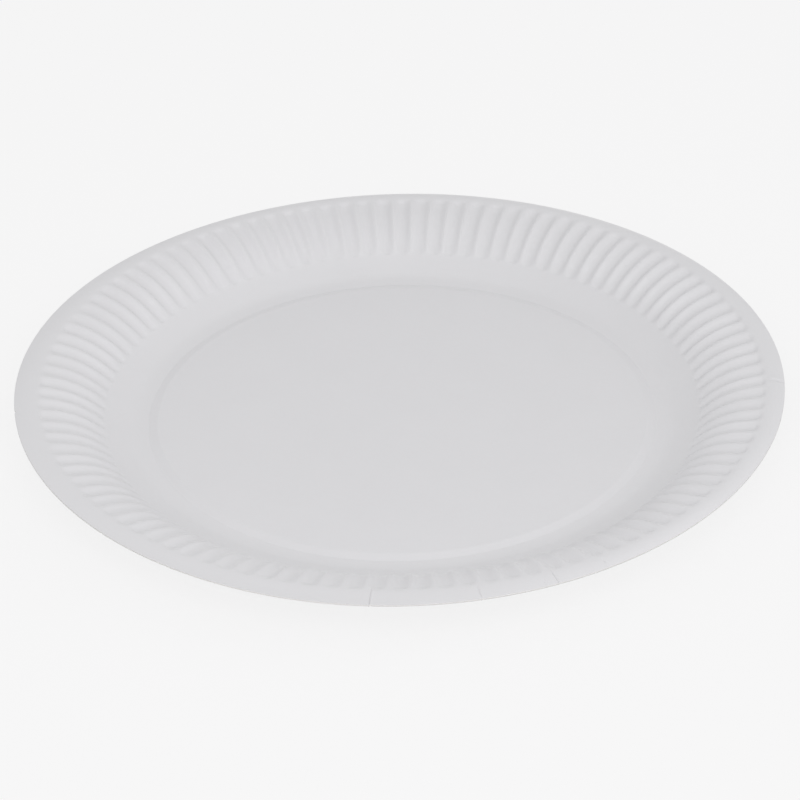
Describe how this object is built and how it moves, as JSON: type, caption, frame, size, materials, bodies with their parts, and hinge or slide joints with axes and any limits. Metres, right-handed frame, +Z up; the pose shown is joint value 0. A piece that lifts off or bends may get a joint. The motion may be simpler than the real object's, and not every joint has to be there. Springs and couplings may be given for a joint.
{
  "type": "paper plate",
  "caption": "Round disposable plate of pressed white paperboard: flat well, rising pleated wall and a smooth lip. It holds a serving of food.",
  "frame": {"origin": "centre of the underside of the foot ring, where the plate's axis meets the table", "axes": "+Z up along the plate's axis, out of the well; +X and +Y lie across the plate, and +X points along a pleat's valley"},
  "size_m": [0.23, 0.23, 0.0142],
  "materials": {
    "paperboard": "matt uncoated white board with a faint sheen"
  },
  "bodies": {
    "root": {"plate": "paperboard"}
  },
  "joints": []
}
